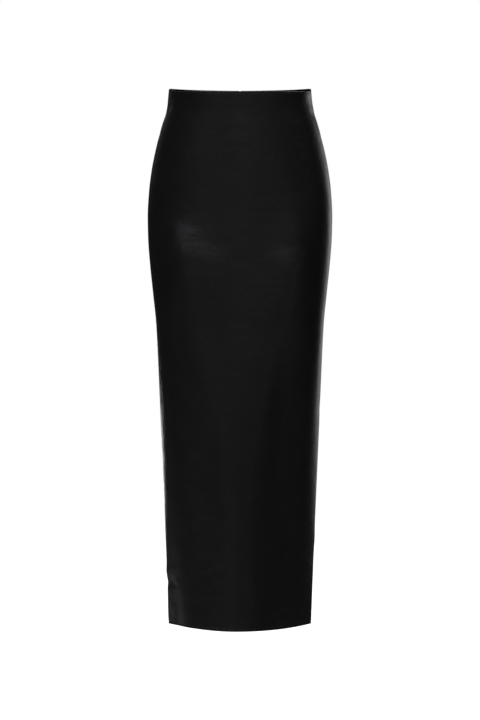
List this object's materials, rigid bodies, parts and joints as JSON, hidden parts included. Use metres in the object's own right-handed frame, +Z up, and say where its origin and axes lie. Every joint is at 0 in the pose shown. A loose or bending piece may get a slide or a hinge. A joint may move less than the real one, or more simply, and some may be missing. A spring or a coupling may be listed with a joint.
{
  "type": "pencil skirt",
  "caption": "Long fitted pencil skirt in smooth black leather-look cloth, worn form, with a concealed back zip and a walking slit.",
  "frame": {"origin": "middle of the waist, level with the top edge at the side seams, where a body holds the skirt up", "axes": "+Z up; -Y to the front of the skirt; +X to the wearer's left"},
  "size_m": [0.3258, 0.2513, 0.9493],
  "materials": {
    "front_cloth": "smooth, softly shining leather-look coating",
    "back_cloth": "smooth, softly shining leather-look coating",
    "zip_tape": "matt woven tape",
    "zip_metal": "black enamel"
  },
  "bodies": {
    "skirt": {"front_panel": "front_cloth", "back_panel_left": "back_cloth", "back_panel_right": "back_cloth", "zip_tape_left": "zip_tape", "zip_tape_right": "zip_tape", "zip_slider": "zip_metal"},
    "zip_pull": {"zip_pull": "zip_metal"}
  },
  "joints": [
    {"name": "pull_swing", "type": "hinge", "parent": "skirt", "child": "zip_pull", "pos_m": [0, 0.08964, -0.004], "axis": [1, 0, 0], "range_deg": [0, 160]}
  ]
}
